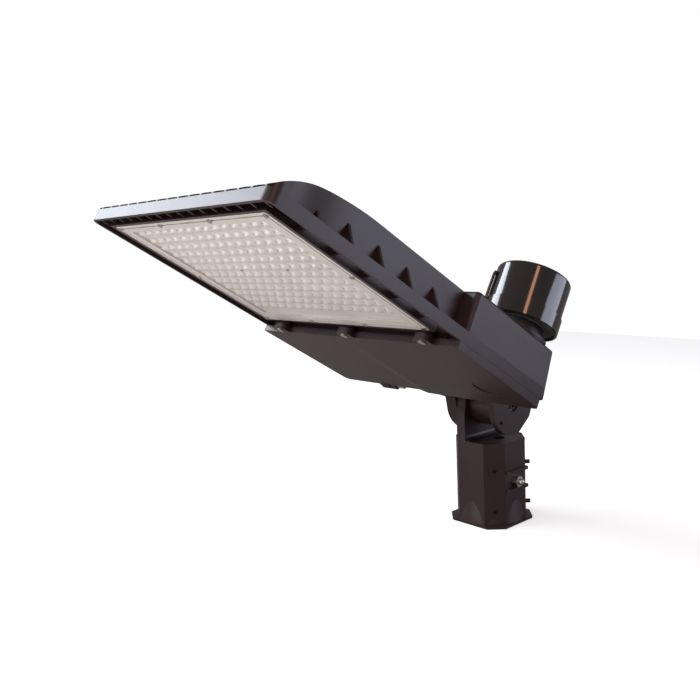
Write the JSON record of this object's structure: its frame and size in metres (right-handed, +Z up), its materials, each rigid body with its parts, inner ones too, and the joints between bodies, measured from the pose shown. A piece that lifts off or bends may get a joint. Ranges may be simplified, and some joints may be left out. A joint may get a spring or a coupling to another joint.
{
  "type": "area light",
  "caption": "Shoebox area light: finned head with moulded optic plate, hinged driver cover, round shorting cap and a tilting slip fitter for a pole tenon.",
  "frame": {"origin": "centre of the slip fitter's open mouth", "axes": "+Z up along the pole tenon, +Y to the rear away from the head's nose, +X to the light's right side, the pivot's axis along X"},
  "size_m": [0.3007, 0.475, 0.3996],
  "materials": {
    "bronze_coat": "cast, with a satin dark bronze powder coat",
    "lens_clear": "moulded optic plate, clear over the board",
    "zinc": "bright zinc plate",
    "black_steel": "blackened steel",
    "cap_black": "gloss black",
    "grey_plastic": "matt grey",
    "black_plastic": "matt black",
    "board_white": "white solder mask",
    "chip_yellow": "phosphor yellow",
    "driver_metal": "plain aluminium case",
    "seal_rubber": "black seal rubber",
    "seal_grey": "grey silicone",
    "contact_brass": "brass strip",
    "lead_white": "insulated lead"
  },
  "bodies": {
    "fitter": {"slip_fitter": "bronze_coat", "tenon_lock_bolt": "zinc", "tenon_lock_nut": "zinc", "set_screws": "black_steel", "pivot_bolt": "zinc", "pivot_nut": "zinc", "pivot_washers": "zinc"},
    "head": {"housing": "bronze_coat", "mount_bracket": "bronze_coat", "bracket_gasket": "seal_rubber", "bracket_bolts": "zinc", "lens_plate": "lens_clear", "lens_gasket": "seal_grey", "lens_screws": "zinc", "led_board": "board_white", "led_chips": "chip_yellow", "driver": "driver_metal", "surge_protector": "black_plastic", "terminal_block": "board_white", "tray_screws": "zinc", "wire_grommet": "seal_rubber", "led_leads": "lead_white", "hinge_pins": "zinc", "receptacle": "black_plastic", "receptacle_gasket": "seal_rubber", "receptacle_contacts": "contact_brass", "receptacle_screws": "zinc"},
    "cover": {"driver_cover": "bronze_coat", "cover_gasket": "seal_grey", "cover_screws": "zinc", "screw_retainers": "black_plastic"},
    "cap": {"cap_shell": "cap_black", "cap_base": "grey_plastic", "cap_blades": "contact_brass", "cap_link": "contact_brass", "cap_gasket": "seal_grey", "cap_clip": "black_steel"}
  },
  "joints": [
    {"name": "head_tilt", "type": "hinge", "parent": "fitter", "child": "head", "pos_m": [0, 0, 0.1483], "axis": [-1, 0, 0], "range_deg": [-46, 58]},
    {"name": "cover_open", "type": "hinge", "parent": "head", "child": "cover", "pos_m": [0, -0.09746, 0.17616], "axis": [1, 0, 0], "range_deg": [0, 80]},
    {"name": "cap_twist", "type": "hinge", "parent": "head", "child": "cap", "pos_m": [0.11, -0.08577, 0.25865], "axis": [0, 0.521, 0.8536], "range_deg": [0, 20]}
  ]
}
